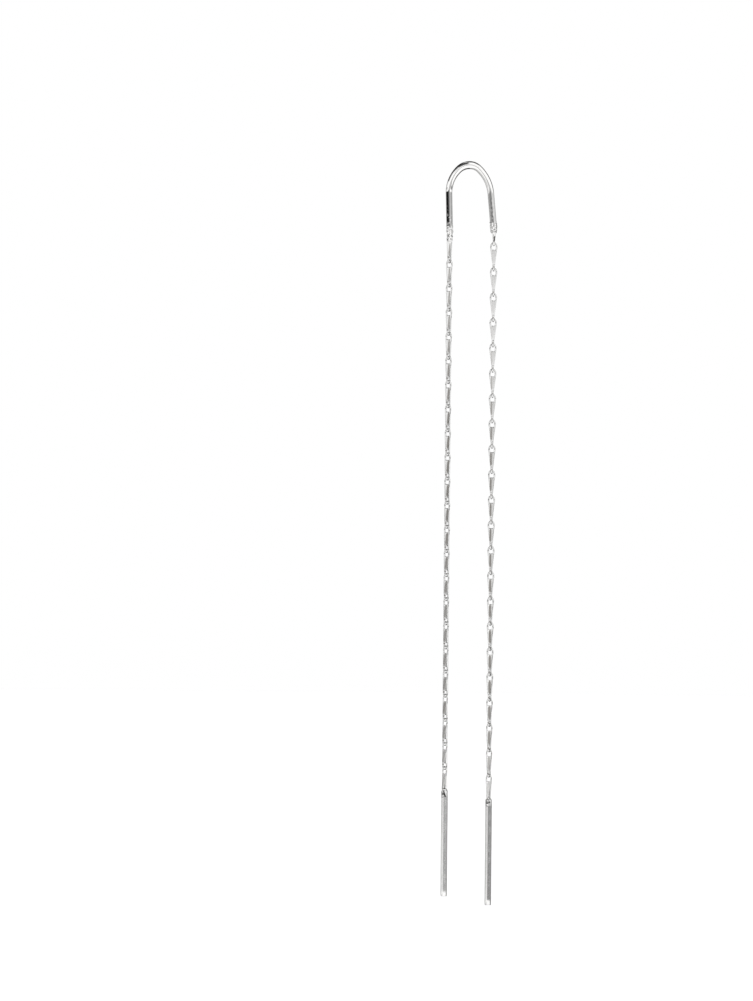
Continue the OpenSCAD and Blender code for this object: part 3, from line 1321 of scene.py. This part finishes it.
@dataclass
class ThreadingBar(Dressed):
    """A round bar with a slot across its top, in which it hangs from the last hook by a pin."""

    name: str
    node: str
    body: Body
    rim: Vector
    turn: float
    finish: SilverFinish
    slot: Slot = Slot.BAR
    bar_d: float = 1.05
    bar_len: float = 16.95
    edge: float = 0.12
    fine_edge: float = 0.025
    rise: float = 0.1
    slot_w: float = 0.6
    slot_depth: float = 0.66
    pin_d: float = 0.19
    pin_sunk: float = 0.1
    pin_flare: float = 0.72
    flare_len: float = 0.05
    flare_out: float = 0.005
    sides: int = 64
    pin_sides: int = 24
    rod_steps: int = 16
    pin_steps: int = 6
    slot_steps: int = 5
    sharp_deg: float = 50.0

    def build(self) -> Piece:
        """Models the bar and its pin.

        Returns:
            The piece, in metres.
        """
        bar = self._bar()
        cutter = self._slot()
        Bench.modify(bar, "BOOLEAN", operation="DIFFERENCE", object=cutter, solver="EXACT")
        Bench.discard(cutter)
        sharp = math.radians(self.sharp_deg)
        Bench.modify(
            bar, "BEVEL", width=self.fine_edge, segments=2, limit_method="ANGLE", angle_limit=sharp
        )
        piece = Bench.join(self.name, [bar, self._pin()])
        piece.rotation_euler.z = math.radians(self.turn)
        piece.location = self.rim
        Bench.settle(piece)
        return Bench.finished(piece, 40)

    def _bar(self) -> Piece:
        """Turns the bar: a ring is drawn down from the top, with a rounded edge at both ends.

        Returns:
            The bar, in millimetres.
        """
        top = Vector((0, 0, self.rise))
        bar = WireBender(f"{self.name}_rod", self.bar_d / 2 - self.edge, top, -Z_AXIS, self.sides)
        bar.round_edge(self.edge, inward=False)
        bar.straight(self.bar_len - 2 * self.edge, self.rod_steps)
        bar.round_edge(self.edge, inward=True)
        return bar.finish()

    def _slot(self) -> Piece:
        """Models the cutter for the slot, with a rounded floor.

        Returns:
            The cutter, in millimetres.
        """
        Bench.clear_selection()
        high = self.slot_depth + self.bar_d
        bpy.ops.mesh.primitive_cube_add(size=1.0, location=(0, 0, high / 2 - self.slot_depth))
        cutter = bpy.context.object
        cutter.scale = (self.slot_w, 2 * self.bar_d, high)
        bpy.ops.object.transform_apply(location=True, rotation=True, scale=True)

        def is_floor_edge(edge: bpy.types.MeshEdge) -> bool:
            """Says whether an edge of the cutter runs along the slot's floor."""
            a, b = (cutter.data.vertices[i].co for i in edge.vertices)
            return a.z < 0 and b.z < 0 and abs(a.y - b.y) > self.bar_d

        Bench.pick(cutter, "edges", is_floor_edge)
        bpy.ops.mesh.select_mode(type="EDGE")
        bpy.ops.mesh.bevel(offset=self.edge, segments=self.slot_steps, affect="EDGES")
        bpy.ops.mesh.select_mode(type="VERT")
        bpy.ops.object.mode_set(mode="OBJECT")
        return cutter

    def _pin(self) -> Piece:
        """Draws the pin across the slot, with its ends sunk in the two cheeks and flared by solder.

        Returns:
            The pin, in millimetres.
        """
        start = Vector((-self.slot_w / 2 - self.pin_sunk, 0, 0))
        pin = WireBender(f"{self.name}_pin", self.pin_d / 2, start, X_AXIS, self.pin_sides)
        flare = self.pin_d * self.pin_flare
        end = self.pin_sunk + self.flare_out
        pin.draw_to(flare)
        pin.straight(end)
        pin.straight(self.flare_len)
        pin.draw_to(self.pin_d / 2)
        pin.straight(self.slot_w - 2 * (self.flare_out + self.flare_len), self.pin_steps)
        pin.straight(self.flare_len)
        pin.draw_to(flare)
        pin.straight(end)
        return pin.finish()


@dataclass(frozen=True)
class Card:
    """A card or gap of the light tent, by where it stands as seen from the earring, in degrees."""

    azimuth: float
    half_width: float
    low: float
    high: float
    level: float
    soft_side: float = 5.0
    soft_edge: float = 2.0


@dataclass(frozen=True)
class Lamp:
    """A broad soft lamp, with its place and width in metres."""

    name: str
    place: tuple[float, float, float]
    width: float
    watts: float


@dataclass
class Studio:
    """A white tent with a few darker cards, a pale floor, soft lamps and a long lens."""

    white: float = 1.12
    lens_mm: float = 180.0
    sensor_mm: float = 36.0
    roll_deg: float = 0.53
    look_x_mm: float = -14.43
    look_z_mm: float = -53.8
    clip_m: Pair = (0.05, 20.0)
    floor_z: float = -0.2
    floor_r: float = 3.0
    lamps: Sequence[Lamp] = (
        Lamp("key_lamp", (0.35, -0.7, 0.75), 0.5, 2.2),
        Lamp("fill_lamp", (-0.5, -0.9, -0.1), 0.6, 0.8),
    )
    cards: Sequence[Card] = (
        Card(180, 72, -20, 10, 0.45, 10, 6),
        Card(145, 50, 8, 60, 0.2, 10, 5),
        Card(-145, 55, 9, 60, 0.03, 10, 4),
        Card(-80, 38, -85, -11, 0.66, 12, 4),
        Card(-140, 45, -88, -22, 0.4, 12, 4),
        Card(-86, 22, 8, 40, 0.26, 7, 4),
        Card(-93, 38, 38, 88, 0.008, 9, 4),
        Card(-40, 34, 38, 88, 0.08, 6, 4),
        Card(-18, 18, 23, 42, 0.12, 5, 4),
        Card(135, 65, 54, 90, 0.06, 10, 5),
        Card(0, 180, 74, 90, 0.24, 5, 4),
        Card(135, 48, -88, -4, 0.05, 9, 4),
        Card(-50, 58, -8, -1.6, 0.86, 8, 1.2),
        Card(12, 36, -8, -1.6, 0.25, 7, 1.2),
        Card(75, 32, -8, -1.6, 0.29, 7, 1.2),
        Card(-62, 52, -2.6, 1.0, 0.3, 6, 0.8),
        Card(-66, 54, 1.0, 4.8, 0.012, 5, 0.8),
        Card(4, 16, 1.6, 5.2, 0.2, 5, 0.9),
        Card(38, 20, 3, 6.2, 0.55, 8, 1.0),
        Card(84, 24, 2.5, 6.2, 0.26, 8, 1.0),
        Card(60, 38, 6.2, 9.5, 0.68, 8, 1.0),
        Card(-84, 30, 11, 20.5, 1.0, 5, 1.5),
        Card(6, 18, 15.5, 22, 0.66, 6, 1.5),
        Card(141, 29, -22, -7, 0.5, 6, 3),
    )

    def build(self) -> None:
        """Sets the camera, the world, the floor and the lamps."""
        self._camera()
        self._world()
        self._floor()
        self._lamps()
        view = bpy.context.scene.view_settings
        view.view_transform = "Standard"
        view.look = "None"

    def _camera(self) -> None:
        """Places the camera far off in front, level with the middle of the frame."""
        data = bpy.data.cameras.new("long_lens")
        data.lens = self.lens_mm
        data.sensor_width = self.sensor_mm
        data.clip_start, data.clip_end = self.clip_m
        camera = bpy.data.objects.new("camera", data)
        far = PHOTO_HEIGHT_PX * MM_PER_PX * self.lens_mm / self.sensor_mm
        roll = Matrix.Rotation(math.radians(-self.roll_deg), 4, "Y")
        level = Matrix.Rotation(math.radians(90), 4, "X")
        place = Vector((self.look_x_mm, -far, self.look_z_mm)) * METRES_PER_MM
        camera.matrix_world = Matrix.Translation(place) @ roll @ level
        bpy.context.scene.collection.objects.link(camera)
        bpy.context.scene.camera = camera

    def _world(self) -> None:
        """Paints the tent round the earring: white, with each card's level where it stands."""
        world = bpy.data.worlds.new("light_tent")
        world.use_nodes = True
        sheet = ShaderSheet(world.node_tree)
        x, y, z = sheet.parts(sheet.add("ShaderNodeTexCoord", out="Generated"))
        forward = 0.0 - y
        height = sheet.add("ShaderNodeMath", {"operation": "ARCSINE"}, {0: z}) * (180 / math.pi)
        light = None
        for card in self.cards:
            mask = self._card_mask(sheet, card, x, forward, height)
            before = self.white if light is None else light
            light = mask * card.level + (1 - mask) * before
        tent = sheet.add("ShaderNodeBackground", None, {"Color": light, "Strength": 1.0})
        seen = sheet.add("ShaderNodeBackground", None, {"Color": (1, 1, 1, 1), "Strength": 1.0})
        ray = sheet.add("ShaderNodeLightPath", out="Is Camera Ray")
        mixed = sheet.add("ShaderNodeMixShader", None, {0: ray, 1: tent, 2: seen})
        sheet.add("ShaderNodeOutputWorld", None, {"Surface": mixed})
        bpy.context.scene.world = world

    @staticmethod
    def _card_mask(sheet: ShaderSheet, card: Card, x: Signal, forward: Signal, height: Signal) -> Signal:
        """Returns 1 where a card stands.

        Args:
            sheet: The world's sheet.
            card: The card.
            x: Part of the direction to the right.
            forward: Part of the direction to the camera's side.
            height: Elevation in degrees.

        Returns:
            The mask.
        """
        c, s = (f(math.radians(card.azimuth)) for f in (math.cos, math.sin))
        across = x * c - forward * s
        ahead = x * s + forward * c
        off = sheet.add("ShaderNodeMath", {"operation": "ARCTAN2"}, {0: across, 1: ahead})
        off = abs(off * (180 / math.pi))
        side = off.rises(card.half_width + card.soft_side, card.half_width - card.soft_side)
        return side * height.between(card.low, card.high, card.soft_edge)

    def _floor(self) -> None:
        """Lays a pale floor well below the bars."""
        Bench.clear_selection()
        bpy.ops.mesh.primitive_circle_add(
            vertices=96, radius=self.floor_r, fill_type="NGON", location=(0, 0, self.floor_z)
        )
        floor = bpy.context.object
        floor.name = "pale_floor"
        made = bpy.data.materials.new("pale_floor")
        made.use_nodes = True
        ShaderSheet(made.node_tree).principled(
            {
                "Base Color": (0.95, 0.95, 0.95, 1.0),
                "Roughness": 0.9,
                "Emission Color": (1.0, 1.0, 1.0, 1.0),
                "Emission Strength": 0.7,
            }
        )
        floor.data.materials.append(made)
        floor.visible_glossy = False

    def _lamps(self) -> None:
        """Sets two broad soft lamps in front of the earring."""
        middle = Vector((0, 0, self.look_z_mm * METRES_PER_MM))
        for lamp in self.lamps:
            data = bpy.data.lights.new(lamp.name, "AREA")
            data.shape = "DISK"
            data.size = lamp.width
            data.energy = lamp.watts
            made = bpy.data.objects.new(lamp.name, data)
            made.rotation_euler = (middle - Vector(lamp.place)).to_track_quat("-Z", "Y").to_euler()
            made.location = lamp.place
            made.visible_glossy = False
            bpy.context.scene.collection.objects.link(made)


def spread(first: float, last: float, count: int) -> list[float]:
    """Returns turns that change evenly, where last would be the turn of the piece after the chain."""
    return [first + (last - first) * k / count for k in range(count)]


def report(piece: Piece) -> None:
    """Logs a piece's name and its count of triangles."""
    LOG.info("%s: %d triangles", piece.name, Bench.triangles(piece))


def main() -> None:
    """Builds and dresses the earring, then the studio round it."""
    logging.basicConfig(level=logging.INFO, format="%(name)s: %(message)s")
    wire = EarWire()
    left_rim, right_rim = (wire.rim(side) for side in Side)
    left_pitch, right_pitch = wire.pitch
    left_count, right_count, facing = 23, 22, 5
    left_turn, right_turn = -51.0, -33.0
    left_turns = spread(wire.first_turn[Side.LEFT], left_turn, left_count)
    right_turns = [0.0] * facing + spread(0.0, right_turn, right_count - facing)
    left_foot = left_rim - Vector((0, 0, left_count * left_pitch))
    right_foot = right_rim - Vector((0, 0, right_count * right_pitch))
    parts = [
        wire,
        LinkChain(
            "left_link_chain", "chain_left", left_rim, left_pitch, left_count, left_turns,
            ChainFinish(
                "left_chain_silver",
                first_rim=left_rim,
                pitch=left_pitch,
                hook_shadow_height=0.4,
                # The core rows place the painted dark reflection link by link.
                core_middle=((1, 0.0), (9, 0.07), (17, -0.11)),
                core_half=((1, 0.11), (9, 0.16), (17, 0.21)),
                core_depth=((1, 0.72), (9, 0.97), (17, 0.66), (19, 0.66), (22, 0.2)),
                core_lean=-0.32,
                core_spread=0.5,
            ),
            odd_links={0: {"eye_half": 0.38, "eye_floor": 0.55}, left_count - 1: {"hook_gap": 0.25}},
        ),
        LinkChain(
            "right_link_chain", "chain_right", right_rim, right_pitch, right_count, right_turns,
            ChainFinish(
                "right_chain_silver",
                first_rim=right_rim,
                pitch=right_pitch,
                # The core rows place the painted dark reflection link by link, and side_shade the painted
                # shade to its right.
                core_middle=((0, -0.2), (9, -0.15), (17, -0.03)),
                core_half=((0, 0.08), (9, 0.15), (17, 0.21)),
                core_depth=((2, 0.15), (8, 0.93), (17, 0.93), (19, 0.8), (21, 0.25)),
                side_shade=0.35,
            ),
            odd_links={right_count - 1: {"hook_gap": 0.25}},
        ),
        ThreadingBar(
            "left_threading_bar", "bar_left", Body.LEFT_BAR, left_foot, left_turn,
            BarFinish(
                # Painted light: this bar's silver is lighter than the right bar's, for the light that it
                # catches.
                "left_bar_silver", pin=left_foot, metal=(0.96, 0.957, 0.95), gloss_roughness=0.11
            ),
        ),
        ThreadingBar(
            "right_threading_bar", "bar_right", Body.RIGHT_BAR, right_foot, right_turn,
            BarFinish(
                "right_bar_silver", pin=right_foot, slot_shadow_top=(-0.22, 0.15), slot_shadow_foot=(0.16, -0.51)
            ),
        ),
    ]
    for part in parts:
        piece = part.build()
        part.dress(piece)
        report(piece)
    Studio().build()


if __name__ == "__main__":
    main()
